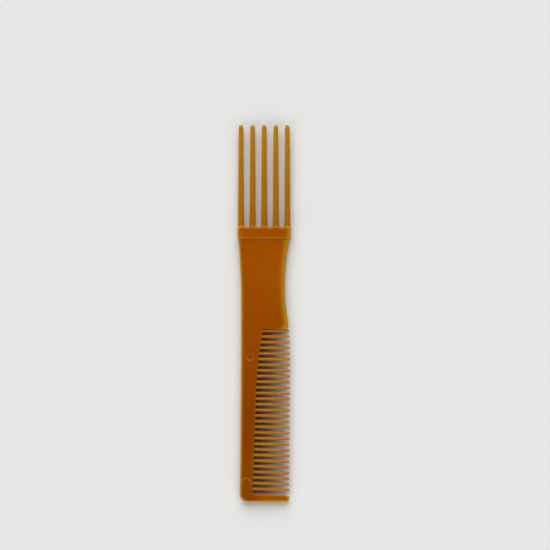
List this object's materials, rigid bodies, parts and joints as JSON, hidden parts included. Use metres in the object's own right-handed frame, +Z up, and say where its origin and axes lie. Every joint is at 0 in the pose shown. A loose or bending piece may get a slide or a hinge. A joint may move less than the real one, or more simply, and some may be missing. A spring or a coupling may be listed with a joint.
{
  "type": "afro pick",
  "caption": "Double-ended plastic lift comb: long lifting prongs on a collar, a waisted flat handle, and a tapering spine with a row of fine teeth and a thick end guard.",
  "frame": {"origin": "under the middle of the comb's outline, on the surface that it lies on", "axes": "+Y along the comb towards the prong tips, +X across it towards the tips of the fine teeth, +Z up through its thickness"},
  "size_m": [0.0296, 0.21, 0.0064],
  "materials": {
    "body_plastic": "translucent amber, glossy, moulded",
    "collar_plastic": "translucent amber, glossy, moulded",
    "prong_plastic": "translucent amber, glossy, moulded, thin",
    "tooth_plastic": "translucent amber, glossy, moulded, thin"
  },
  "bodies": {
    "root": {"handle": "body_plastic", "spine": "body_plastic", "collar": "collar_plastic", "end_guard": "collar_plastic", "lift_prong_1": "prong_plastic", "lift_prong_2": "prong_plastic", "lift_prong_3": "prong_plastic", "lift_prong_4": "prong_plastic", "lift_prong_5": "prong_plastic", "tooth_01": "tooth_plastic", "tooth_02": "tooth_plastic", "tooth_03": "tooth_plastic", "tooth_04": "tooth_plastic", "tooth_05": "tooth_plastic", "tooth_06": "tooth_plastic", "tooth_07": "tooth_plastic", "tooth_08": "tooth_plastic", "tooth_09": "tooth_plastic", "tooth_10": "tooth_plastic", "tooth_11": "tooth_plastic", "tooth_12": "tooth_plastic", "tooth_13": "tooth_plastic", "tooth_14": "tooth_plastic", "tooth_15": "tooth_plastic", "tooth_16": "tooth_plastic", "tooth_17": "tooth_plastic", "tooth_18": "tooth_plastic", "tooth_19": "tooth_plastic", "tooth_20": "tooth_plastic", "tooth_21": "tooth_plastic", "tooth_22": "tooth_plastic", "tooth_23": "tooth_plastic", "tooth_24": "tooth_plastic", "tooth_25": "tooth_plastic", "tooth_26": "tooth_plastic", "tooth_27": "tooth_plastic", "tooth_28": "tooth_plastic", "tooth_29": "tooth_plastic"}
  },
  "joints": []
}
